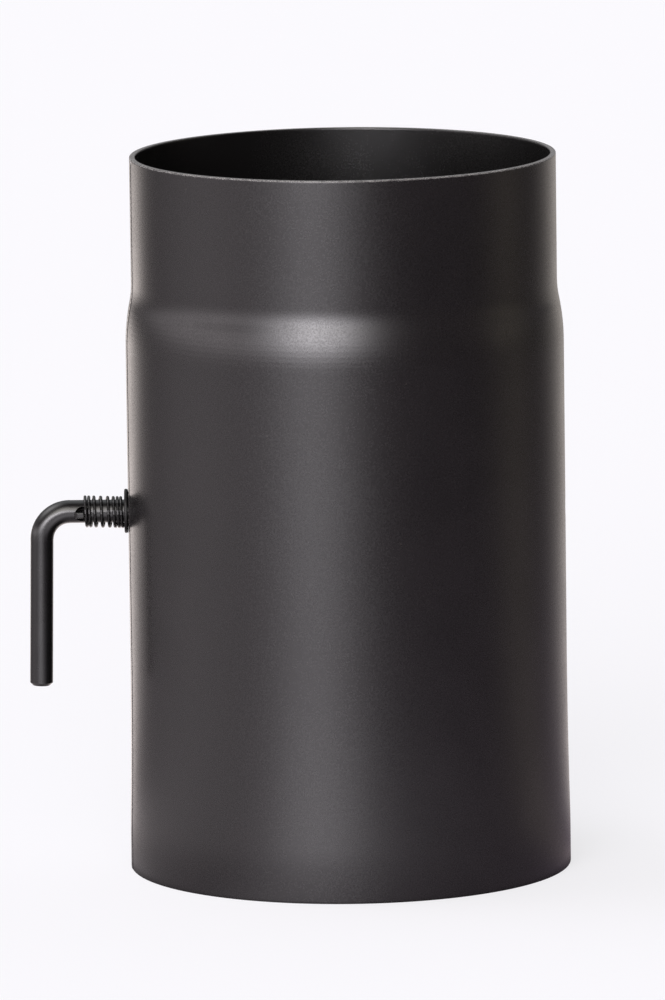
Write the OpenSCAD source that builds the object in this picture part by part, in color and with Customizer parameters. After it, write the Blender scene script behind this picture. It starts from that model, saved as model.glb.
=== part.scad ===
// Steel stove pipe section with a damper flap.
// The pipe stands on its socket, spigot up, with the origin at the foot on the pipe's axis.
// The damper's bar lies along X, and its handle hangs down on the -X side.

/* [Pipe] */
// Height from the foot to the top rim
pipe_height = 250; // [230:1:500]
// Outside diameter of the body
body_d = 152.4; // [120:0.1:200]
// Thickness of the steel sheet
wall = 2; // [1.5:0.1:3]
// Straight length of the reduced spigot at the top
spigot_length = 44; // [30:0.5:50]
// Gap all round between a spigot and the body of the next pipe
slip_gap = 0.2; // [0.1:0.05:1]
// Height of the S-shaped shoulder between body and spigot
shoulder_height = 22; // [15:0.5:30]
// Share of the shoulder's height that its upper, hollow curve takes
shoulder_hollow = 0.32; // [0.2:0.01:0.8]
// How much wider the socket is than the body, on the radius
socket_widening = 0.75; // [0.3:0.05:1.5]
// Straight length of the socket at the foot
socket_length = 12; // [8:1:25]
// Height over which the widening dies out above the socket
socket_run_out = 64; // [30:1:75]
// Share of that height that the upper, hollow curve takes
run_out_hollow = 0.88; // [0.5:0.01:0.95]
// Rounding of the sheet's cut edges
edge_r = 0.4; // [0.2:0.05:0.7]
// Angle from the handle forward to the welded seam, degrees
seam_angle = 6.5; // [6:0.5:90]
// Width of the flattened weld bead
seam_width = 3; // [1.5:0.5:5]
// Height of the weld bead above the sheet
seam_rise = 0.12; // [0.05:0.01:0.2]

/* [Bar and handle] */
// Height of the bar's axis above the foot
bar_height = 125.5; // [110:0.5:140]
// Diameter of the round bar that is both spindle and handle
bar_d = 8; // [7:0.5:10]
// Gap round the bar in the pipe's two holes
bar_gap = 0.3; // [0.2:0.05:0.6]
// How far the bar's far end stays inside the pipe's outside face
far_end_inset = 0.6; // [0.3:0.1:1.2]
// Radius of the bend on the bar's centre line
bend_r = 9.8; // [8:0.1:20]
// Angle that the bar is bent through, degrees
bend_angle = 88.9; // [85:0.1:95]
// How much the bar swells where it is bent, on the radius
bend_swell = 0.04; // [0.03:0.01:0.2]
// Straight length of the hanging arm
arm_length = 51.6; // [30:0.1:80]
// Chamfer on the arm's lower end
arm_chamfer = 1; // [0.5:0.1:2]
// Straight bar between the pressed ears and the bend
neck_length = 1.7; // [0.5:0.1:10]

/* [Pressed ears] */
// Length of an ear along the bar
ear_length = 3; // [2.5:0.1:4]
// Thickness of an ear
ear_thickness = 2.1; // [1.5:0.1:3]
// Rounding of an ear's nose towards the bend
ear_nose_r = 1.3; // [0.5:0.1:2]
// Rounding of an ear's long edges
ear_edge_r = 0.5; // [0.2:0.05:0.7]
// Radius of the ball-shaped pocket that the press leaves round an ear
pocket_r = 2.9; // [2.6:0.1:3.1]
// Depth of the pocket
pocket_depth = 2.8; // [2:0.1:2.9]
// Angle that the front ear points down and the back ear up, degrees
ear_turn = 8; // [0:1:15]

/* [Spring] */
// Length of the fitted spring
spring_length = 14.4; // [13:0.1:20]
// Diameter of the spring's wire
wire_d = 1.1; // [0.8:0.05:1.2]
// Gap between the spring's coils and the bar
spring_play = 0.55; // [0.5:0.05:1]
// Turns from end to end
spring_turns = 7.75; // [6.75:0.25:8]
// Turns over which the spring opens and closes again
open_turns = 6.2; // [3:0.1:6.3]
// Closed turns before them, at the ears
first_turns = 0.4; // [0:0.1:0.4]
// Gap between the closed turns at the two ends
coil_gap = 0.1; // [0.05:0.01:0.2]
// How far an open coil leans, from its lowest to its highest point
coil_lean = 0.55; // [0:0.05:0.7]
// How far the spring hangs below the bar's axis at the pipe's end
spring_sag = 0.45; // [0:0.05:0.45]

/* [Washers and split pin] */
// Outside diameter of the two washers on the bar
washer_d = 15.4; // [14:0.1:20]
// Thickness of those washers
washer_thickness = 1.2; // [1:0.1:2]
// Rounding of a washer's rim, which punching leaves
washer_edge_r = 0.45; // [0.1:0.05:0.45]
// Gap between a washer's hole and the bar
washer_gap = 0.2; // [0.1:0.05:0.4]
// Gap between a washer and the pipe's curved wall
seat_gap = 0.1; // [0.05:0.05:0.3]
// Diameter of the split pin
pin_d = 2; // [1.6:0.1:2.5]
// Gap round the split pin in its hole
pin_gap = 0.1; // [0.05:0.05:0.2]
// Length of the split pin's legs beyond the bar
leg_length = 4; // [2:0.5:6]
// Angle that each leg is bent outward, degrees
leg_angle = 35; // [10:5:45]

/* [Flap] */
// Gap between the flap's rim and the pipe
flap_gap = 4.2; // [3.5:0.1:10]
// Thickness of the flap's plate
flap_thickness = 2; // [1.5:0.1:3]
// Width of the notch that always lets some gas past
notch_width = 50; // [40:1:60]
// Depth of the notch, in from the flap's rim
notch_depth = 45; // [35:1:50]
// Rounding of the notch's inner corners
notch_corner_r = 8; // [4:1:15]
// Depth of the long flat on the bar that the flap lies against
flat_depth = 1; // [0.5:0.1:1.5]
// Depth of the small flats under the nuts
spot_depth = 0.6; // [0.4:0.1:1]

/* [Flap screws] */
// Distance between the flap's two screws
screw_spacing = 70; // [50:1:90]
// Diameter of the screws
screw_d = 5; // [4:0.5:5]
// Gap round the screws in the flap and the bar
screw_gap = 0.25; // [0.15:0.05:0.4]
// Width across the flats of the hexagon heads and nuts
hexagon_width = 8; // [7:0.5:10]
// Height of a screw's head
head_height = 3.5; // [2.5:0.1:4]
// Height of a nut
nut_height = 4; // [3:0.1:5]
// Length of thread beyond a nut
thread_end = 1.5; // [1:0.1:4]
// Thickness of a spring washer
lock_thickness = 1.2; // [0.8:0.1:1.6]
// Width of the split in a spring washer
lock_split = 0.8; // [0.5:0.1:1.5]

/* [Hidden] */
paint = "#3b393a";
black = "#242324";
raw_steel = "#6f6c69";
zinc = "#a3a39e";
round_fn = 180;
small_fn = 48;
over = 1;
bend_overlap = 0.5;

body_r = body_d / 2;
bore_r = body_r - wall;
spigot_r = bore_r - slip_gap;
bar_r = bar_d / 2;
flap_r = bore_r - flap_gap;
wire_r = wire_d / 2;
coil_r = bar_r + spring_play + wire_r;

// Places along the bar, counted outward from the pipe's axis on the handle's side
washer_face = body_r + seat_gap;
spring_face = washer_face + washer_thickness;
ear_face = spring_face + spring_length;
bend_start = ear_face + ear_length + neck_length;
inner_washer_r = washer_d / 2;
inner_face = sqrt(bore_r * bore_r - inner_washer_r * inner_washer_r) - seat_gap;
pin_place = inner_face - washer_thickness - seat_gap / 2 - pin_d / 2;

// The flap lies on the bar's back face, the nuts on its front
flap_front = bar_r - flat_depth;
flap_back = flap_front + flap_thickness;
spot_face = -bar_r + spot_depth;
nut_face = spot_face - lock_thickness;
screw_tip = nut_face - nut_height - thread_end;

function arc(centre, r, from, to, steps) =
    [for (i = [0 : steps]) let (a = from + (to - from) * i / steps)
        [centre[0] + r * cos(a), centre[1] + r * sin(a)]];

// An S-shaped run of two arcs from radius r1 at height z1 to a smaller radius r2 at height z2.
// Both arcs turn through the same angle, so each takes the share of the height that its radius has.
function s_run(r1, z1, r2, z2, hollow_share, steps) =
    let (drop = r1 - r2, rise = z2 - z1,
         both = (rise * rise + drop * drop) / (2 * drop),
         upper = both * hollow_share, lower = both - upper,
         turn = asin(rise / both))
    concat(arc([r1 - lower, z1], lower, 0, turn, steps),
           arc([r2 + upper, z2], upper, 180 + turn, 180, steps));

shoulder_top = pipe_height - spigot_length;
shoulder_foot = shoulder_top - shoulder_height;
run_out_top = socket_length + socket_run_out;
socket_r = body_r + socket_widening;

// The pipe's outside from the foot to the rim, without the rounded cut edges
outside = concat(
    s_run(socket_r, socket_length, body_r, run_out_top, run_out_hollow, 6),
    s_run(body_r, shoulder_foot, spigot_r, shoulder_top, shoulder_hollow, 8));

function inward(points, by) = [for (i = [len(points) - 1 : -1 : 0]) [points[i][0] - by, points[i][1]]];

module wall_outline() {
    foot_z = edge_r;
    rim_z = pipe_height - edge_r;
    polygon(concat(
        arc([socket_r - edge_r, foot_z], edge_r, -90, 0, 4),
        outside,
        arc([spigot_r - edge_r, rim_z], edge_r, 0, 90, 4),
        arc([spigot_r - wall + edge_r, rim_z], edge_r, 90, 180, 4),
        inward(outside, wall),
        arc([socket_r - wall + edge_r, foot_z], edge_r, 180, 270, 4)));
}

module seam_outline() {
    rails = concat([[socket_r, edge_r]], outside, [[spigot_r, pipe_height - edge_r]]);
    polygon(concat([for (p = rails) [p[0] + seam_rise, p[1]]], inward(rails, wall / 2)));
}

module along_bar(from, to, d, fn = small_fn) {
    translate([from, 0, bar_height]) rotate([0, 90, 0]) cylinder(d = d, h = to - from, $fn = fn);
}

// A round piece across the bar, from one depth in Y to another
module across_bar(x, from, to, d, fn = small_fn) {
    translate([x, to, bar_height]) rotate([90, 0, 0]) cylinder(d = d, h = to - from, $fn = fn);
}

module pipe() {
    seam_turn = seam_width / body_r * 180 / PI;
    color(paint) difference() {
        union() {
            rotate_extrude($fn = round_fn) wall_outline();
            rotate([0, 0, 180 + seam_angle - seam_turn / 2])
                rotate_extrude(angle = seam_turn, $fn = round_fn) seam_outline();
        }
        along_bar(-body_r - over, body_r + over, bar_d + 2 * bar_gap);
    }
}

// The pressed ears are turned a little about the bar. The second one is the first turned half round.
module both_ears() {
    translate([-ear_face, 0, bar_height]) for (half = [0, 180]) rotate([ear_turn + half, 0, 0]) children();
}

// One ear: a fin square to the spring, with a rounded nose and rounded long edges
module ear() {
    floor_y = bar_r - pocket_depth - over / 2;
    top_y = coil_r + wire_r / 2;
    half = ear_thickness / 2;
    intersection() {
        translate([0, 0, -half]) linear_extrude(ear_thickness) polygon(concat(
            [[0, -floor_y], [-ear_length, -floor_y]],
            arc([-ear_length + ear_nose_r, -top_y + ear_nose_r], ear_nose_r, 180, 270, 6),
            [[0, -top_y]]));
        rotate([90, 0, -90]) translate([0, 0, -over]) linear_extrude(ear_length + 2 * over) polygon(concat(
            arc([top_y - ear_edge_r, half - ear_edge_r], ear_edge_r, 90, 0, 5),
            arc([top_y - ear_edge_r, -half + ear_edge_r], ear_edge_r, 0, -90, 5),
            [[0, -half], [0, half]]));
    }
}

// The pocket round an ear: a ball's mark, centred on the face that the spring pushes on
module pocket() {
    translate([0, -bar_r + pocket_depth - pocket_r, 0]) sphere(r = pocket_r, $fn = small_fn);
}

// The bend and the hanging arm. The straight stretches start a little inside the swollen bend.
module bent_arm() {
    straight = arm_length - arm_chamfer;
    translate([-bend_start, 0, bar_height - bend_r]) rotate([90, 0, 0]) rotate([0, 0, 90]) {
        rotate_extrude(angle = bend_angle, $fn = round_fn)
            translate([bend_r, 0]) circle(r = bar_r + bend_swell, $fn = small_fn);
        rotate([0, 0, bend_angle]) translate([bend_r, 0, 0]) rotate([-90, 0, 0]) {
            translate([0, 0, -bend_overlap])
                cylinder(d = bar_d, h = straight + bend_overlap, $fn = small_fn);
            translate([0, 0, straight])
                cylinder(d1 = bar_d, d2 = bar_d - 2 * arm_chamfer, h = arm_chamfer, $fn = small_fn);
        }
    }
}

module handle_bar() {
    color(black) {
        difference() {
            union() {
                along_bar(-bend_start - bend_overlap, body_r - far_end_inset, bar_d);
                bent_arm();
            }
            both_ears() pocket();
            flap_flat();
            for (x = [-1, 1] * screw_spacing / 2) {
                across_bar(x, -bar_r - over, bar_r + over, screw_d + 2 * screw_gap);
                across_bar(x, -bar_r - over, spot_face, spot_d());
            }
            translate([-pin_place, 0, bar_height - bar_r - over])
                cylinder(d = pin_d + 2 * pin_gap, h = bar_d + 2 * over, $fn = small_fn);
        }
        both_ears() ear();
    }
}

function spot_d() = hexagon_width / cos(30) + 1;

module flap_flat() {
    length = 2 * flap_r + seat_gap;
    translate([-length / 2, flap_front, bar_height - bar_r - over])
        cube([length, flat_depth + over, bar_d + 2 * over]);
}

// Distance along the spring at a turn count: closed turns at the ends, open ones between them
spring_run = spring_length - wire_d;
closed_pitch = wire_d + coil_gap;
open_gain = spring_run - closed_pitch * spring_turns;

function opened(turn) = min(max((turn - first_turns) / open_turns, 0), 1);

function spring_reach(turn) =
    let (t = opened(turn))
    closed_pitch * turn + open_gain * (t - sin(360 * t) / (2 * PI));

function spring_lean(turn) = coil_lean * (1 - cos(360 * opened(turn))) / 4;

module spring() {
    sides = 10;
    steps_a_turn = 24;
    rings = round(spring_turns * steps_a_turn);
    first_angle = -60;
    points = [for (i = [0 : rings], s = [0 : sides - 1])
        let (turn = spring_turns * i / rings, a = first_angle + 360 * turn, b = 360 * s / sides,
             r = coil_r + wire_r * cos(b),
             reach = spring_reach(turn))
        [-ear_face + wire_r + reach + spring_lean(turn) * cos(a) + wire_r * sin(b),
         -r * sin(a),
         bar_height - spring_sag * reach / spring_run + r * cos(a)]];
    skin = [for (i = [0 : rings - 1], s = [0 : sides - 1])
        let (n = (s + 1) % sides)
        [i * sides + s, i * sides + n, (i + 1) * sides + n, (i + 1) * sides + s]];
    ends = [[for (s = [sides - 1 : -1 : 0]) s], [for (s = [0 : sides - 1]) rings * sides + s]];
    color(black) polyhedron(points, concat(skin, ends), convexity = 10);
}

// A flat ring round the bar, with its rim rounded on both edges
module washer_on_bar(from) {
    rim = washer_d / 2 - washer_edge_r;
    difference() {
        translate([from, 0, bar_height]) rotate([0, 90, 0]) rotate_extrude($fn = round_fn) polygon(concat(
            [[0, 0]],
            arc([rim, washer_edge_r], washer_edge_r, -90, 0, 5),
            arc([rim, washer_thickness - washer_edge_r], washer_edge_r, 0, 90, 5),
            [[0, washer_thickness]]));
        along_bar(from - over, from + washer_thickness + over, bar_d + 2 * washer_gap);
    }
}

module outer_washer() {
    color(black) washer_on_bar(-spring_face);
}

module inner_washer() {
    color(raw_steel) washer_on_bar(-inner_face);
}

// A split pin: round shank, eye on top, two bent legs below
module split_pin() {
    eye_wire = pin_d * 0.45;
    eye_r = pin_d * 0.8;
    color(zinc) translate([-pin_place, 0, bar_height]) {
        translate([0, 0, -bar_r]) cylinder(d = pin_d, h = bar_d + 0.5, $fn = small_fn);
        translate([0, 0, bar_r + 0.3 + eye_r]) rotate([90, 0, 90])
            rotate_extrude($fn = small_fn) translate([eye_r, 0]) circle(d = eye_wire, $fn = 24);
        for (side = [-1, 1])
            translate([0, side * pin_d / 8, -bar_r + pin_d / 4]) rotate([-side * leg_angle, 0, 0])
                translate([0, 0, -leg_length]) cylinder(d = pin_d * 0.6, h = leg_length, $fn = small_fn);
    }
}

module flap() {
    cut_foot = flap_r - notch_depth;
    color(raw_steel) difference() {
        across_bar(0, flap_front, flap_back, 2 * flap_r, round_fn);
        translate([0, flap_back + over, bar_height]) rotate([90, 0, 0])
            linear_extrude(flap_thickness + 2 * over) notch_outline(cut_foot);
        for (x = [-1, 1] * screw_spacing / 2)
            across_bar(x, flap_front - over, flap_back + over, screw_d + 2 * screw_gap);
    }
}

module notch_outline(foot) {
    half = notch_width / 2;
    inset = half - notch_corner_r;
    corner_z = foot + notch_corner_r;
    polygon(concat(
        [[half, flap_r + over]],
        arc([inset, corner_z], notch_corner_r, 0, -90, 8),
        arc([-inset, corner_z], notch_corner_r, -90, -180, 8),
        [[-half, flap_r + over]]));
}

module hexagon(x, from, to) {
    across_bar(x, from, to, hexagon_width / cos(30), 6);
}

module flap_screws() {
    color(zinc) for (x = [-1, 1] * screw_spacing / 2) {
        hexagon(x, flap_back, flap_back + head_height);
        across_bar(x, screw_tip, flap_back, screw_d);
    }
}

module lock_washers() {
    color(zinc) for (x = [-1, 1] * screw_spacing / 2) difference() {
        across_bar(x, nut_face, spot_face, screw_d * 1.7);
        across_bar(x, nut_face - over, spot_face + over, screw_d + 2 * screw_gap);
        translate([x, nut_face - over, bar_height - lock_split / 2])
            cube([screw_d, lock_thickness + 2 * over, lock_split]);
    }
}

module flap_nuts() {
    thread_gap = 0.05;
    color(zinc) for (x = [-1, 1] * screw_spacing / 2) difference() {
        hexagon(x, nut_face - nut_height, nut_face);
        across_bar(x, nut_face - nut_height - over, nut_face + over, screw_d + 2 * thread_gap);
    }
}

pipe();
handle_bar();
spring();
outer_washer();
inner_washer();
split_pin();
flap();
flap_screws();
lock_washers();
flap_nuts();
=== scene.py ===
# %% [markdown]
# # A steel stove pipe with a damper, dressed for a product photograph
#
# The solid model brings every piece at its true size. This file gives those pieces their finish and puts
# them in front of a camera. The pipe is a rolled and welded tube in charcoal heat-proof paint. Its damper is
# a round bar, bent into a handle outside, with a spring and a washer, and a flap inside.
#
# The file begins with the frame, because everything else is placed around it.

# %% Load the solid model
from math import cos, pi, radians, sin
import bpy
from mathutils import Matrix, Vector


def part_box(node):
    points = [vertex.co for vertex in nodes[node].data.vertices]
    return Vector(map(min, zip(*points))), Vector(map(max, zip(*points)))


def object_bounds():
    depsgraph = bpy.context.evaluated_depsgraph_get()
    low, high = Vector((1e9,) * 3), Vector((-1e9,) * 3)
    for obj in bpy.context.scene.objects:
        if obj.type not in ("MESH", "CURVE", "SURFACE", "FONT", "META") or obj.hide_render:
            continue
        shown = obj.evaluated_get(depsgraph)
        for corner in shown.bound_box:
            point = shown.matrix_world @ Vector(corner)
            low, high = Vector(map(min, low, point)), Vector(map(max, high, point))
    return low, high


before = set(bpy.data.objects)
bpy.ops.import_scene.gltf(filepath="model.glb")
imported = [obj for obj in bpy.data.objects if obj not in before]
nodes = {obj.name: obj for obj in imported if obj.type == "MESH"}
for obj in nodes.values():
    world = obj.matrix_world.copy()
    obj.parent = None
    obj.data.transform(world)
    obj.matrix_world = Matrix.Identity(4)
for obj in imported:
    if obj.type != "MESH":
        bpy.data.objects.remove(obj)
cad_low, cad_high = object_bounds()
print("pieces:", ", ".join(sorted(nodes)))
print("size in mm:", [round(1000 * (b - a), 1) for a, b in zip(cad_low, cad_high)])

# %% [markdown]
# ## The camera
#
# A product picture like this is taken from a few steps back with a long lens, so that upright sides stay
# nearly parallel. It could be framed by eye, but a camera placed by measured distance, height and tilt puts
# every edge where the picture has it. The picture also leans by less than a degree, which is a small roll.

# %% Place the camera
MM = 0.001
CAMERA_BACK = 3832.73 * MM
CAMERA_UP = 739.84 * MM
CAMERA_PITCH = radians(9.064)
CAMERA_YAW = radians(0.074)
CAMERA_ROLL = radians(-0.732)
LENS_PIXELS = 11138
PICTURE_HEIGHT = 1000
SENSOR = 36.0


def camera_axes(pitch, yaw, roll):
    """The camera's right, up and backward directions."""
    right = Vector((cos(yaw), sin(yaw), 0))
    ahead = Vector((-sin(yaw) * cos(pitch), cos(yaw) * cos(pitch), -sin(pitch)))
    up = right.cross(ahead)
    return right * cos(roll) + up * sin(roll), up * cos(roll) - right * sin(roll), -ahead


camera_data = bpy.data.cameras.new("camera")
camera = bpy.data.objects.new("camera", camera_data)
bpy.context.scene.collection.objects.link(camera)
camera_data.sensor_width = SENSOR
camera_data.lens = LENS_PIXELS * SENSOR / PICTURE_HEIGHT
camera_data.clip_end = 50
turn = Matrix(camera_axes(CAMERA_PITCH, CAMERA_YAW, CAMERA_ROLL)).transposed().to_4x4()
camera.matrix_world = Matrix.Translation((0, -CAMERA_BACK, CAMERA_UP)) @ turn
bpy.context.scene.camera = camera
print("lens in mm:", round(camera_data.lens, 1))

# %% [markdown]
# ## Small helpers for shader nodes
#
# Shader trees are easier to read when a node is made and set in one call. The first helper takes the tree,
# the kind of node and the values of its sockets, and links a value that is itself a socket. The others make
# an empty material, one step of arithmetic, and a fade between two values.

# %% Node helpers


def add(tree, kind, values=None, **settings):
    """Make a node, set its properties and its input sockets."""
    node = tree.nodes.new(kind)
    for name, value in settings.items():
        setattr(node, name, value)
    for name, value in (values or {}).items():
        if isinstance(value, bpy.types.NodeSocket):
            tree.links.new(value, node.inputs[name])
        else:
            node.inputs[name].default_value = value
    return node


def new_material(name):
    """A material with an empty tree: returns it, its tree and its output node."""
    material = bpy.data.materials.new(name)
    material.use_nodes = True
    tree = material.node_tree
    tree.nodes.clear()
    return material, tree, add(tree, "ShaderNodeOutputMaterial")


def calc(tree, operation, a, b=0.0, c=0.0, clamp=False):
    """One Math node's result."""
    return add(tree, "ShaderNodeMath", {0: a, 1: b, 2: c}, operation=operation, use_clamp=clamp).outputs[0]


def fade(tree, value, low, high, to_low=0.0, to_high=1.0, kind="SMOOTHSTEP"):
    """Go from to_low to to_high while value goes from low to high."""
    ranged = add(tree, "ShaderNodeMapRange",
                 {"Value": value, "From Min": low, "From Max": high, "To Min": to_low, "To Max": to_high},
                 interpolation_type=kind)
    return ranged.outputs["Result"]


def blend_colours(tree, share, first, second):
    """Mix two colours by a share that changes over the surface."""
    mix = add(tree, "ShaderNodeMix", data_type="RGBA")
    for socket, value in zip([mix.inputs[0], mix.inputs[6], mix.inputs[7]], [share, first, second]):
        if isinstance(value, bpy.types.NodeSocket):
            tree.links.new(value, socket)
        else:
            socket.default_value = value
    return mix.outputs[2]


# %% [markdown]
# ## Effects as node groups
#
# A look that several surfaces share is best built once, as a node group with named inputs and outputs, and
# then placed in each material with its own values. This helper makes an empty group with its sockets, and
# the next one places a group in a tree.

# %% Group helpers


def new_group(name, takes, gives):
    """An empty group: returns it, the sockets that come in and the node that they go out by."""
    group = bpy.data.node_groups.new(name, "ShaderNodeTree")
    for label, kind, value in takes:
        socket = group.interface.new_socket(label, in_out="INPUT", socket_type="NodeSocket" + kind)
        if value is not None:
            socket.default_value = value
    for label, kind in gives:
        group.interface.new_socket(label, in_out="OUTPUT", socket_type="NodeSocket" + kind)
    return group, group.nodes.new("NodeGroupInput").outputs, group.nodes.new("NodeGroupOutput")


def give(group, leave, **results):
    """Join a group's results to its named outputs."""
    for label, socket in results.items():
        group.links.new(socket, leave.inputs[label])
    print("group:", group.name, "gives", ", ".join(results))
    return group


def place_group(tree, group, values=None):
    """Put a group in a tree and return its outputs."""
    return add(tree, "ShaderNodeGroup", values, node_tree=group).outputs


# %% [markdown]
# ## The studio's light
#
# Dark satin paint shows little light of its own. What tells its shape is what it mirrors: a large soft light
# in front on the left, a paler one at the side, a white ceiling behind, and an unlit room on the right. Lamps
# with hard edges would show as boxes in the paint, and cards would stand in the way of a camera at the side.
# So each light is a soft patch in the room's own brightness, set by where it is and how wide and tall it
# is. A group holds one such patch. It is brightest in its middle and dies away like a bell curve.

# %% One soft light


def build_soft_light():
    group, given, leave = new_group(
        "soft light",
        [("Azimuth", "Float", 0.0), ("Elevation", "Float", 0.0), ("Faces", "Float", 0.0),
         ("Height", "Float", 0.0), ("Width", "Float", 0.3), ("Tall", "Float", 0.2)],
        [("Share", "Float")])
    beside = calc(group, "WRAP", calc(group, "SUBTRACT", given["Azimuth"], given["Faces"]), pi, -pi)
    beside = calc(group, "DIVIDE", beside, given["Width"])
    above = calc(group, "DIVIDE", calc(group, "SUBTRACT", given["Elevation"], given["Height"]), given["Tall"])
    squares = calc(group, "MULTIPLY_ADD", beside, beside, calc(group, "MULTIPLY", above, above))
    return give(group, leave, Share=calc(group, "EXPONENT", calc(group, "MULTIPLY", squares, -0.5)))


soft_light = build_soft_light()

# %% [markdown]
# The whole room's light is a group too, because the world and the paper's sheen both use it. Azimuth is
# measured from the camera's side of the pipe, to the right, and elevation from the horizon. Each patch adds
# its own tint, cool for the large light and warm for the small one on the right.
#
# The light is kept at a plain level: what a patch lacks in size it has in brightness, and together they
# light a wall that faces the camera about as brightly as its colour is written.

# %% All soft lights together
ROOM_LIGHTS = [
    # azimuth, elevation, width and height in degrees, brightness, tint
    (-17.0, 10.5, 15.0, 6.2, 14.3, (0.98, 0.945, 1.0)),
    (-10.5, 32.0, 15.8, 13.5, 6.0, (1.0, 0.96, 0.91)),
    (-75.2, 5.0, 28.0, 5.1, 3.03, (1.0, 0.93, 0.96)),
    (-100.0, 52.0, 24.0, 14.0, 3.5, (1.0, 0.98, 0.99)),
    (95.5, 0.0, 10.4, 11.8, 0.48, (1.0, 0.88, 0.66)),
    (180.0, 10.0, 35.0, 7.0, 0.40, (1.0, 0.99, 1.0)),
    (170.0, 58.0, 45.0, 22.0, 1.0, (0.93, 0.98, 1.0)),
]
UNLIT_ROOM = (0.055, 0.042, 0.044)


def build_room_light():
    group, given, leave = new_group("room light", [("Direction", "Vector", None)], [("Light", "Color")])
    along = add(group, "ShaderNodeSeparateXYZ", {0: given["Direction"]}).outputs
    flat = calc(group, "SQRT", calc(group, "MULTIPLY_ADD", along["X"], along["X"],
                                    calc(group, "MULTIPLY", along["Y"], along["Y"])))
    azimuth = calc(group, "ARCTAN2", along["X"], calc(group, "MULTIPLY", along["Y"], -1.0))
    elevation = calc(group, "ARCTAN2", along["Z"], flat)

    def patch(faces, height, width, tall):
        return place_group(group, soft_light,
                           {"Azimuth": azimuth, "Elevation": elevation, "Faces": faces, "Height": height,
                            "Width": width, "Tall": tall})["Share"]

    total = UNLIT_ROOM
    for faces, height, width, tall, brightness, tint in ROOM_LIGHTS:
        share = patch(radians(faces), radians(height), radians(width), radians(tall))
        light = add(group, "ShaderNodeVectorMath", {0: [brightness * c for c in tint], "Scale": share},
                    operation="SCALE").outputs[0]
        total = add(group, "ShaderNodeVectorMath", {0: light, 1: total}).outputs[0]
    return give(group, leave, Light=total)


room_light = build_room_light()

# %% [markdown]
# ## The world
#
# The world shows the room light to everything but the camera. A camera ray is simply shown white, so that
# the background never needs more light on the pipe.

# %% Make the world
WHITE = (1.0, 1.0, 1.0, 1)


def build_world():
    world = bpy.data.worlds.new("studio")
    world.use_nodes = True
    tree = world.node_tree
    tree.nodes.clear()
    rays = add(tree, "ShaderNodeLightPath").outputs
    direction = add(tree, "ShaderNodeTexCoord").outputs["Generated"]
    light = place_group(tree, room_light, {"Direction": direction})["Light"]
    seen = calc(tree, "MAXIMUM", rays["Is Camera Ray"], rays["Is Transmission Ray"])
    room = add(tree, "ShaderNodeBackground", {"Color": light, "Strength": 1.0})
    white = add(tree, "ShaderNodeBackground", {"Color": WHITE, "Strength": 1.0})
    shown = add(tree, "ShaderNodeMixShader", {0: seen, 1: room.outputs[0], 2: white.outputs[0]})
    add(tree, "ShaderNodeOutputWorld", {"Surface": shown.outputs[0]})
    bpy.context.scene.world = world


build_world()
bpy.context.scene.view_settings.view_transform = "Standard"

# %% [markdown]
# ## The floor
#
# The pipe stands on white paper. A camera is shown white paper everywhere: most of it is plain white, and a
# share of it is really lit, which leaves the soft shadow beside the foot.
#
# For mirrored rays the paper shows painted light instead of its lit surface: a glow brightest behind on the
# left, dim on the side of the unlit room, a painted sheen that repeats some of the light just above the
# horizon, and painted shade close to the pipe and at its foot.

# %% Make the floor
FLOOR_REACH = 12.0
PAPER = (0.85, 0.845, 0.95, 1)
PAPER_SEEN = (1.0, 0.995, 1.0, 1)
SEEN_SHARE = 0.70
SHEEN = 0.453
SHEEN_SHADED = 0.45
PIPE_FOOT = 75 * MM
PAINTED_FOOT_SHADE = 0.3
PAPER_LIGHTS = [
    # azimuth, distance from the pipe's axis, width in degrees and reach in metres, brightness with its tint
    (-154.0, 0.3, 13.0, 1.7, (1.45, 1.31, 1.25)),
    (-149.0, 1.5, 8.0, 0.35, (0.80, 0.72, 0.68)),
    (-135.0, 0.12, 25.0, 0.06, (0.60, 0.54, 0.53)),
    (160.0, 0.0, 18.8, 1000.0, (0.68, 0.62, 0.57)),
    (170.0, 0.12, 25.0, 0.06, (0.42, 0.39, 0.36)),
    (80.0, 0.0, 90.0, 0.6, (0.225, 0.180, 0.230)),
    (8.0, 0.24, 26.0, 0.08, (0.62, 0.60, 0.64)),
]


def painted_paper_light(tree, place):
    """The painted light that the paper shows to mirrored rays, with painted shade near the pipe and its foot."""
    at = add(tree, "ShaderNodeSeparateXYZ", {0: place}).outputs
    away = add(tree, "ShaderNodeVectorMath", {0: place}, operation="LENGTH").outputs["Value"]
    azimuth = calc(tree, "ARCTAN2", at["X"], calc(tree, "MULTIPLY", at["Y"], -1.0))
    level = add(tree, "ShaderNodeCombineXYZ", {"X": at["X"], "Y": at["Y"], "Z": 0.0}).outputs[0]
    light = place_group(tree, room_light, {"Direction": level})["Light"]
    # painted shade: close to the pipe the paper's sheen is painted weaker
    sheen = fade(tree, away, 0.10, 0.20, SHEEN * SHEEN_SHADED, SHEEN)
    total = add(tree, "ShaderNodeVectorMath", {0: light, "Scale": sheen}, operation="SCALE").outputs[0]
    for faces, out, width, reach, brightness in PAPER_LIGHTS:
        share = place_group(tree, soft_light,
                            {"Azimuth": azimuth, "Elevation": away, "Faces": radians(faces), "Height": out,
                             "Width": radians(width), "Tall": reach})["Share"]
        part = add(tree, "ShaderNodeVectorMath", {0: brightness, "Scale": share}, operation="SCALE")
        total = add(tree, "ShaderNodeVectorMath", {0: part.outputs[0], 1: total}).outputs[0]
    # painted shade: the paper's glow is painted darker within 9 mm of the pipe's foot
    painted_foot_shade = fade(tree, away, PIPE_FOOT, PIPE_FOOT + 9 * MM, PAINTED_FOOT_SHADE, 1.0)
    return add(tree, "ShaderNodeVectorMath", {0: total, "Scale": painted_foot_shade}, operation="SCALE").outputs[0]


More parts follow.
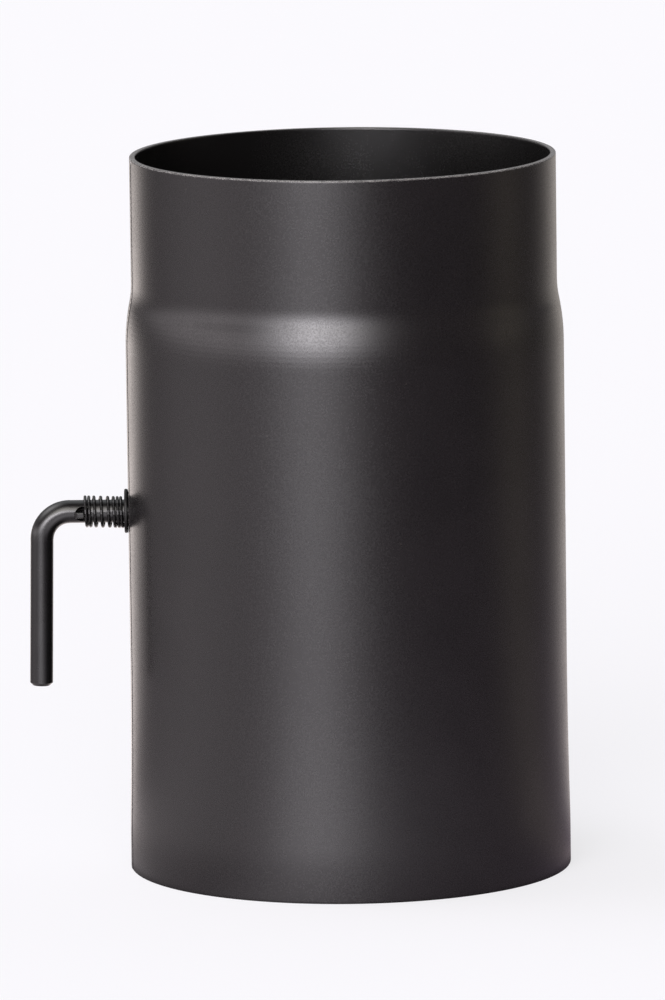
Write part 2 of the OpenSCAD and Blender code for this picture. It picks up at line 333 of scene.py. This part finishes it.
def build_floor():
    mesh = bpy.data.meshes.new("floor")
    r = FLOOR_REACH
    mesh.from_pydata([(-r, -r, 0), (r, -r, 0), (r, r, 0), (-r, r, 0)], [], [(0, 1, 2, 3)])
    floor = bpy.data.objects.new("floor", mesh)
    bpy.context.scene.collection.objects.link(floor)
    material, tree, output = new_material("white paper")
    rays = add(tree, "ShaderNodeLightPath").outputs
    place = add(tree, "ShaderNodeTexCoord").outputs["Object"]
    lit = add(tree, "ShaderNodeBsdfDiffuse", {"Color": PAPER}).outputs[0]
    white = add(tree, "ShaderNodeEmission", {"Color": PAPER_SEEN, "Strength": 1.0}).outputs[0]
    seen = calc(tree, "MAXIMUM", rays["Is Camera Ray"], rays["Is Transmission Ray"])
    share = calc(tree, "MULTIPLY", seen, SEEN_SHARE)
    shown = add(tree, "ShaderNodeMixShader", {0: share, 1: lit, 2: white}).outputs[0]
    # painted light: mirrored rays see the paper's painted glow, not its lit surface
    painted_glow = add(tree, "ShaderNodeEmission", {"Color": painted_paper_light(tree, place), "Strength": 1.0})
    whole = add(tree, "ShaderNodeMixShader", {0: rays["Is Glossy Ray"], 1: shown, 2: painted_glow.outputs[0]})
    tree.links.new(whole.outputs[0], output.inputs["Surface"])
    mesh.materials.append(material)
    return floor


build_floor()

# %% [markdown]
# ## Sprayed grain
#
# Heat-proof paint dries to a fine pebble, with softer clouds where the coat is thicker and a few specks of
# dust. Displacing the mesh would take millions of faces for grains of half a millimetre. Noise textures do
# it in the shader: a fine one for the pebble's height, a wide one for the clouds, and sparse points for the
# specks. Every painted piece uses the group, each with a grain of its own size.

# %% The sprayed grain group
GRAIN_DETAIL = 2.0
CLOUDS_PER_GRAIN = 0.02
SPECKS_PER_GRAIN = 0.06
SPECK_REACH = 0.035


def build_sprayed_grain():
    group, given, leave = new_group(
        "sprayed grain",
        [("Place", "Vector", None), ("Grains per metre", "Float", 1500.0)],
        [("Height", "Float"), ("Clouds", "Float"), ("Specks", "Float")])
    grains = given["Grains per metre"]
    pebble = add(group, "ShaderNodeTexNoise", {"Vector": given["Place"], "Scale": grains,
                                               "Detail": GRAIN_DETAIL, "Roughness": 0.55})
    clouds = add(group, "ShaderNodeTexNoise",
                 {"Vector": given["Place"], "Scale": calc(group, "MULTIPLY", grains, CLOUDS_PER_GRAIN),
                  "Detail": 4.0, "Roughness": 0.6})
    dots = add(group, "ShaderNodeTexVoronoi",
               {"Vector": given["Place"], "Scale": calc(group, "MULTIPLY", grains, SPECKS_PER_GRAIN),
                "Randomness": 1.0})
    return give(group, leave, Height=pebble.outputs["Fac"], Clouds=clouds.outputs["Fac"],
                Specks=fade(group, dots.outputs["Distance"], SPECK_REACH, 0.4 * SPECK_REACH))


sprayed_grain = build_sprayed_grain()

# %% [markdown]
# ## Worn edges and painted edge highlights
#
# Paint draws thin over a sheared edge and is the first to be rubbed off there. The edge could be painted by
# hand as a vertex colour, but the solid model's mesh is never changed. The Bevel node gives the normal that
# a rounded edge would have. Where it differs from the true one there is an edge, and the group turns that
# difference into a mask, broken up a little by noise. It also gives that normal, for edges that catch light.
# On most pieces the mask carries wear, and on the pipe's rim it carries a painted highlight.

# %% The edge wear and highlight group
EDGE_SAMPLES = 6


def build_edge_wear_and_highlight():
    group, given, leave = new_group(
        "worn edge",
        [("Place", "Vector", None), ("Reach", "Float", 0.0006), ("Breaks per metre", "Float", 400.0)],
        [("Edge", "Float"), ("Rounded", "Vector")])
    rounded = add(group, "ShaderNodeBevel", {"Radius": given["Reach"]}, samples=EDGE_SAMPLES).outputs[0]
    true = add(group, "ShaderNodeNewGeometry").outputs["Normal"]
    same = add(group, "ShaderNodeVectorMath", {0: rounded, 1: true}, operation="DOT_PRODUCT").outputs["Value"]
    edge = fade(group, same, 0.985, 0.89)
    breaks = add(group, "ShaderNodeTexNoise",
                 {"Vector": given["Place"], "Scale": given["Breaks per metre"], "Detail": 3.0}).outputs["Fac"]
    wear_and_highlight = calc(group, "MULTIPLY", edge, fade(group, breaks, 0.30, 0.55, 0.45, 1.0))
    return give(group, leave, Edge=wear_and_highlight, Rounded=rounded)


edge_wear_and_highlight = build_edge_wear_and_highlight()

# %% [markdown]
# ## Drawn lines
#
# Bar, wire and sheet are drawn or rolled to size, which leaves fine lines along them. Anisotropic gloss would
# show them from afar, but only noise that is stretched along the line shows the lines themselves. The group
# takes a place that is already scaled, small along the line and large across it.

# %% The drawn lines group


def build_drawn_lines():
    group, given, leave = new_group(
        "drawn lines",
        [("Place", "Vector", None), ("Contrast", "Float", 1.0)],
        [("Height", "Float"), ("Shade", "Float")])
    lines = add(group, "ShaderNodeTexNoise", {"Vector": given["Place"], "Scale": 1.0, "Detail": 5.0,
                                              "Roughness": 0.65}).outputs["Fac"]
    apart = calc(group, "MULTIPLY", calc(group, "SUBTRACT", lines, 0.5), given["Contrast"])
    return give(group, leave, Height=lines, Shade=calc(group, "ADD", apart, 1.0))


drawn_lines = build_drawn_lines()


def stretched(tree, place, per_metre):
    """A place scaled differently along each axis, for the drawn lines."""
    return add(tree, "ShaderNodeVectorMath", {0: place, 1: per_metre}, operation="MULTIPLY").outputs[0]


# %% [markdown]
# ## The pipe's paint
#
# The pipe wears one satin coat of charcoal heat-proof paint. Its sheet was rolled, so very shallow waves run
# up and down it. A welded seam runs from rim to foot beside the handle, ground flat, with fine ripples from
# the weld left under the paint, and the seam is painted lighter as a painted highlight. Inside, the coat is
# thinner and smoother, and it is painted darker as painted shade in the pipe's hollow. On the rim a light
# line is a painted highlight: its outer corner is painted much lighter, and its top face a little lighter.
#
# All of it is one material. Masks that follow from a point's place on the pipe say where seam and inside are,
# so that nothing has to be cut out of the mesh.

# %% The charcoal paint
CHARCOAL = (0.0105, 0.0092, 0.0097, 1)
CHARCOAL_THICK = (0.0080, 0.0070, 0.0075, 1)
# painted shade: the darker colour of the pipe's inside
INSIDE_SHADE_COLOUR = (0.0042, 0.0040, 0.0040, 1)
# painted highlight: the colour and places of the rim's painted light line
RIM_HIGHLIGHT_COLOUR = (0.64, 0.62, 0.60, 1)
RIM_HEIGHT = cad_high[2]
RIM_HIGHLIGHT_SPAN = (73.0 * MM, 73.6 * MM)
TOP_FACE_HIGHLIGHT = 0.10
# painted highlight: the seam's lighter colour
SEAM_HIGHLIGHT_COLOUR = (0.050, 0.046, 0.045, 1)
SPECK_COLOUR = (0.05, 0.045, 0.04, 1)
PAINT_ROUGHNESS = 0.255
PIPE_GRAINS = 1500.0
PEBBLE_HEIGHT = 0.000013
INSIDE_PEBBLE = 0.4
SEAM_FACES = radians(180 + 6.5)
SEAM_HALF = 1.5 * MM
RIPPLES_PER_METRE = 480.0
RIPPLE_HEIGHT = 0.00003
SHEET_WAVES = (14.0, 14.0, 3.0)
WAVE_HEIGHT = 0.00012


def seam_masks(tree, place):
    """How much of a point lies on the seam, and how far it is to either side of it."""
    at = add(tree, "ShaderNodeSeparateXYZ", {0: place}).outputs
    ahead = (cos(SEAM_FACES), sin(SEAM_FACES), 0)
    beside = (-sin(SEAM_FACES), cos(SEAM_FACES), 0)
    front = add(tree, "ShaderNodeVectorMath", {0: place, 1: ahead}, operation="DOT_PRODUCT").outputs["Value"]
    side = add(tree, "ShaderNodeVectorMath", {0: place, 1: beside}, operation="DOT_PRODUCT").outputs["Value"]
    away = calc(tree, "ABSOLUTE", side)
    on_seam = calc(tree, "MULTIPLY", fade(tree, away, 1.1 * SEAM_HALF, 0.8 * SEAM_HALF),
                   fade(tree, front, 0.0, 0.01))
    return on_seam, side, at["Z"]


def out_from_axis(tree, place):
    """A point's distance from the pipe's axis."""
    flat = add(tree, "ShaderNodeVectorMath", {0: place, 1: (1, 1, 0)}, operation="MULTIPLY").outputs[0]
    return add(tree, "ShaderNodeVectorMath", {0: flat}, operation="LENGTH").outputs["Value"]


def inside_mask(tree, place):
    """One on surfaces that face the pipe's axis, zero on its outside."""
    flat = add(tree, "ShaderNodeVectorMath", {0: place, 1: (1, 1, 0)}, operation="MULTIPLY").outputs[0]
    out = add(tree, "ShaderNodeVectorMath", {0: flat}, operation="NORMALIZE").outputs[0]
    normal = add(tree, "ShaderNodeNewGeometry").outputs["Normal"]
    facing = add(tree, "ShaderNodeVectorMath", {0: out, 1: normal}, operation="DOT_PRODUCT").outputs["Value"]
    return fade(tree, facing, -0.55, -0.95)


def make_pipe_paint():
    material, tree, output = new_material("charcoal heat-proof paint")
    place = add(tree, "ShaderNodeTexCoord").outputs["Object"]
    grain = place_group(tree, sprayed_grain, {"Place": place, "Grains per metre": PIPE_GRAINS})
    corner = place_group(tree, edge_wear_and_highlight, {"Place": place, "Reach": 0.8 * MM})
    upward = add(tree, "ShaderNodeSeparateXYZ", {0: add(tree, "ShaderNodeNewGeometry").outputs["Normal"]}).outputs["Z"]
    on_seam, side, height = seam_masks(tree, place)
    # painted highlight on the rim: the outer corner, and a little of the top face, are painted lighter
    rubbed_and_highlight = calc(tree, "MULTIPLY", corner["Edge"], fade(tree, out_from_axis(tree, place), *RIM_HIGHLIGHT_SPAN))
    edge = calc(tree, "MAXIMUM", rubbed_and_highlight, fade(tree, upward, 0.6, 0.95, 0.0, TOP_FACE_HIGHLIGHT))
    edge = calc(tree, "MULTIPLY", edge, fade(tree, height, RIM_HEIGHT - 2 * MM, RIM_HEIGHT - 1 * MM))
    inside = inside_mask(tree, place)
    calm = fade(tree, inside, 0.0, 1.0, 1.0, INSIDE_PEBBLE)
    pebble = calc(tree, "MULTIPLY_ADD", calc(tree, "SUBTRACT", grain["Height"], 0.5), calm, 0.5)
    on_seam = calc(tree, "MULTIPLY", on_seam, calc(tree, "SUBTRACT", 1.0, inside))

    colour = blend_colours(tree, fade(tree, grain["Clouds"], 0.3, 0.7), CHARCOAL, CHARCOAL_THICK)
    # painted shade: every surface that faces the axis is painted darker
    colour = blend_colours(tree, inside, colour, INSIDE_SHADE_COLOUR)
    colour = blend_colours(tree, calc(tree, "MULTIPLY", grain["Specks"], 0.5), colour, SPECK_COLOUR)
    # painted highlight: the seam is painted lighter than the paint around it
    colour = blend_colours(tree, calc(tree, "MULTIPLY", on_seam, fade(tree, grain["Clouds"], 0.3, 0.7, 0.55, 1.0)),
                           colour, SEAM_HIGHLIGHT_COLOUR)
    # the rim's painted highlight goes into the colour here
    colour = blend_colours(tree, edge, colour, RIM_HIGHLIGHT_COLOUR)

    gloss = fade(tree, grain["Clouds"], 0.3, 0.7, -0.02, 0.02)
    pebbled = fade(tree, pebble, 0.3, 0.7, PAINT_ROUGHNESS - 0.045, PAINT_ROUGHNESS + 0.045)
    roughness = calc(tree, "ADD", gloss, pebbled)
    roughness = calc(tree, "MULTIPLY_ADD", edge, -0.05, roughness)
    roughness = calc(tree, "MULTIPLY_ADD", on_seam, -0.06, roughness)

    waves = add(tree, "ShaderNodeTexNoise", {"Vector": stretched(tree, place, SHEET_WAVES), "Scale": 1.0,
                                             "Detail": 1.0}).outputs["Fac"]
    ripple = calc(tree, "SINE", calc(tree, "MULTIPLY", height, 2 * pi * RIPPLES_PER_METRE))
    ripple = calc(tree, "MULTIPLY", ripple, on_seam)
    relief = add(tree, "ShaderNodeBump", {"Height": waves, "Distance": WAVE_HEIGHT, "Strength": 1.0,
                                          "Normal": corner["Rounded"]})
    relief = add(tree, "ShaderNodeBump", {"Height": ripple, "Distance": RIPPLE_HEIGHT, "Strength": 1.0,
                                          "Normal": relief.outputs[0]})
    relief = add(tree, "ShaderNodeBump", {"Height": pebble, "Distance": PEBBLE_HEIGHT, "Strength": 1.0,
                                          "Normal": relief.outputs[0]})
    shader = add(tree, "ShaderNodeBsdfPrincipled", {"Base Color": colour, "Roughness": roughness,
                                                    "Normal": relief.outputs[0]})
    tree.links.new(shader.outputs[0], output.inputs["Surface"])
    return material


# %% [markdown]
# ## Paint on the bar and the washer
#
# The bar was bent first and painted afterwards, in a duller black. The same sprayed grain is used with finer
# grains, over the faint lines of the drawn bar. A small function makes both blacks, because they differ only
# in how dark and how dull they are.

# %% The black paints
BAR_BLACK = (0.0020, 0.0018, 0.0019, 1)
BAR_RUBBED = (0.030, 0.028, 0.028, 1)
BAR_ROUGHNESS = 0.27
BAR_GRAINS = 2200.0
BAR_PEBBLE = 0.000018
WASHER_BLACK = (0.0030, 0.0028, 0.0028, 1)
WASHER_RUBBED = (0.012, 0.011, 0.011, 1)
WASHER_ROUGHNESS = 0.50
BAR_LINES = (60.0, 900.0, 900.0)


def make_black_paint(name, black, rubbed_and_highlight, roughness, specular):
    material, tree, output = new_material(name)
    place = add(tree, "ShaderNodeTexCoord").outputs["Object"]
    grain = place_group(tree, sprayed_grain, {"Place": place, "Grains per metre": BAR_GRAINS})
    edge = place_group(tree, edge_wear_and_highlight, {"Place": place, "Reach": 0.3 * MM, "Breaks per metre": 900.0})["Edge"]
    lines = place_group(tree, drawn_lines, {"Place": stretched(tree, place, BAR_LINES), "Contrast": 0.5})
    dark = add(tree, "ShaderNodeVectorMath", {0: black[:3], "Scale": lines["Shade"]}, operation="SCALE").outputs[0]
    colour = blend_colours(tree, edge, dark, rubbed_and_highlight)
    cloudy = fade(tree, grain["Clouds"], 0.3, 0.7, roughness - 0.03, roughness + 0.03)
    relief = add(tree, "ShaderNodeBump", {"Height": grain["Height"], "Distance": BAR_PEBBLE, "Strength": 1.0})
    shader = add(tree, "ShaderNodeBsdfPrincipled",
                 {"Base Color": colour, "Roughness": cloudy, "Specular IOR Level": specular,
                  "Normal": relief.outputs[0]})
    tree.links.new(shader.outputs[0], output.inputs["Surface"])
    return material


# %% [markdown]
# ## Blackened spring wire
#
# The spring is drawn wire, blackened in an oil bath and not painted, so it is slicker than the bar. The fine
# lines run along the wire, round the coil. Their place is worked out from the distance to the coil's axis and
# from how far along it a point lies, both finely, and from the turn round it, coarsely.

# %% The spring's finish
WIRE_BLACK = (0.0022, 0.0020, 0.0021, 1)
WIRE_ROUGHNESS = 0.16
LINES_ACROSS = 2600.0
LINES_ROUND = 3.0
LINE_HEIGHT = 0.000012
coil_low, coil_high = (Vector(corner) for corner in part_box("spring"))
coil_height = (coil_low.z + coil_high.z) / 2
print("the coil's axis is at height, mm:", round(coil_height / MM, 2))


def make_spring_wire():
    material, tree, output = new_material("blackened spring wire")
    place = add(tree, "ShaderNodeTexCoord").outputs["Object"]
    at = add(tree, "ShaderNodeSeparateXYZ", {0: place}).outputs
    above = calc(tree, "SUBTRACT", at["Z"], coil_height)
    out = calc(tree, "SQRT", calc(tree, "MULTIPLY_ADD", at["Y"], at["Y"], calc(tree, "MULTIPLY", above, above)))
    round_the_coil = calc(tree, "ARCTAN2", at["Y"], above)
    along = add(tree, "ShaderNodeCombineXYZ",
                {"X": calc(tree, "MULTIPLY", at["X"], LINES_ACROSS),
                 "Y": calc(tree, "MULTIPLY", out, LINES_ACROSS),
                 "Z": calc(tree, "MULTIPLY", round_the_coil, LINES_ROUND)}).outputs[0]
    lines = place_group(tree, drawn_lines, {"Place": along, "Contrast": 0.9})
    colour = add(tree, "ShaderNodeVectorMath", {0: WIRE_BLACK[:3], "Scale": lines["Shade"]},
                 operation="SCALE").outputs[0]
    slick = fade(tree, lines["Height"], 0.3, 0.7, WIRE_ROUGHNESS - 0.03, WIRE_ROUGHNESS + 0.04)
    relief = add(tree, "ShaderNodeBump", {"Height": lines["Height"], "Distance": LINE_HEIGHT, "Strength": 1.0})
    shader = add(tree, "ShaderNodeBsdfPrincipled",
                 {"Base Color": colour, "Roughness": slick, "Specular IOR Level": 0.5,
                  "Normal": relief.outputs[0]})
    tree.links.new(shader.outputs[0], output.inputs["Surface"])
    return material


# %% [markdown]
# ## Mill steel and zinc
#
# What sits inside the pipe is bare. The flap and the inner washer are hot-rolled sheet with its dark scale,
# which has streaks along the rolling and lighter metal where it was sheared. Screws, nuts, their washers and
# the split pin are zinc plated: pale, cloudy and a little scuffed. Both are metals, so their colour is the
# colour of their gloss, and only the scale is partly not metal.

# %% The bare metals
SCALE_DARK = (0.115, 0.108, 0.106, 1)
SCALE_LIGHT = (0.205, 0.192, 0.180, 1)
SCALE_TAN = (0.150, 0.112, 0.082, 1)
SHEARED = (0.40, 0.385, 0.36, 1)
ROLLING = (70.0, 900.0, 900.0)
SCALE_HEIGHT = 0.00002
ZINC = (0.44, 0.44, 0.42, 1)
ZINC_CLOUD = (0.34, 0.345, 0.335, 1)
ZINC_GRAINS = 900.0
SCUFFS = (500.0, 500.0, 160.0)
SCUFF_HEIGHT = 0.00001


def make_mill_steel():
    material, tree, output = new_material("dark mill steel")
    place = add(tree, "ShaderNodeTexCoord").outputs["Object"]
    lines = place_group(tree, drawn_lines, {"Place": stretched(tree, place, ROLLING), "Contrast": 0.8})
    clouds = place_group(tree, sprayed_grain, {"Place": place, "Grains per metre": 1800.0})
    edge = place_group(tree, edge_wear_and_highlight, {"Place": place, "Reach": 0.3 * MM})["Edge"]
    colour = blend_colours(tree, fade(tree, clouds["Clouds"], 0.35, 0.65), SCALE_DARK, SCALE_LIGHT)
    colour = blend_colours(tree, fade(tree, clouds["Height"], 0.55, 0.75, 0.0, 0.45), colour, SCALE_TAN)
    colour = add(tree, "ShaderNodeVectorMath", {0: colour, "Scale": lines["Shade"]}, operation="SCALE").outputs[0]
    colour = blend_colours(tree, edge, colour, SHEARED)
    dull = fade(tree, clouds["Clouds"], 0.35, 0.65, 0.50, 0.36)
    dull = calc(tree, "MULTIPLY_ADD", edge, -0.1, dull)
    bare = calc(tree, "MULTIPLY_ADD", edge, 0.25, 0.72)
    relief = add(tree, "ShaderNodeBump", {"Height": lines["Height"], "Distance": SCALE_HEIGHT, "Strength": 1.0})
    shader = add(tree, "ShaderNodeBsdfPrincipled", {"Base Color": colour, "Roughness": dull, "Metallic": bare,
                                                    "Normal": relief.outputs[0]})
    tree.links.new(shader.outputs[0], output.inputs["Surface"])
    return material


def make_zinc():
    material, tree, output = new_material("dull zinc plate")
    place = add(tree, "ShaderNodeTexCoord").outputs["Object"]
    clouds = place_group(tree, sprayed_grain, {"Place": place, "Grains per metre": ZINC_GRAINS * 12})
    scuffs = place_group(tree, drawn_lines, {"Place": stretched(tree, place, SCUFFS), "Contrast": 0.5})
    edge = place_group(tree, edge_wear_and_highlight, {"Place": place, "Reach": 0.2 * MM, "Breaks per metre": 1500.0})["Edge"]
    colour = blend_colours(tree, fade(tree, clouds["Clouds"], 0.35, 0.65), ZINC, ZINC_CLOUD)
    colour = add(tree, "ShaderNodeVectorMath", {0: colour, "Scale": scuffs["Shade"]}, operation="SCALE").outputs[0]
    dull = fade(tree, clouds["Clouds"], 0.35, 0.65, 0.30, 0.44)
    dull = calc(tree, "MULTIPLY_ADD", edge, -0.08, dull)
    relief = add(tree, "ShaderNodeBump", {"Height": scuffs["Height"], "Distance": SCUFF_HEIGHT, "Strength": 1.0})
    shader = add(tree, "ShaderNodeBsdfPrincipled", {"Base Color": colour, "Roughness": dull, "Metallic": 1.0,
                                                    "Normal": relief.outputs[0]})
    tree.links.new(shader.outputs[0], output.inputs["Surface"])
    return material


# %% [markdown]
# ## Dress the pieces
#
# Each piece of the solid model keeps its shape and place, and only its material changes. The pieces already
# ride on their bodies: the pipe on one, and the bar with all that it carries on the other.

# %% Give each piece its finish
black_bar = make_black_paint("black bar paint", BAR_BLACK, BAR_RUBBED, BAR_ROUGHNESS, 0.6)
black_washer = make_black_paint("black washer", WASHER_BLACK, WASHER_RUBBED, WASHER_ROUGHNESS, 0.35)
mill_steel = make_mill_steel()
zinc = make_zinc()
FINISHES = {
    "pipe": make_pipe_paint(),
    "handle_bar": black_bar,
    "spring": make_spring_wire(),
    "outer_washer": black_washer,
    "inner_washer": mill_steel,
    "flap": mill_steel,
    "split_pin": zinc,
    "flap_screws": zinc,
    "lock_washers": zinc,
    "flap_nuts": zinc,
}
for name, piece in nodes.items():
    piece.data.materials.clear()
    piece.data.materials.append(FINISHES[name])
    print(name, "wears", FINISHES[name].name)
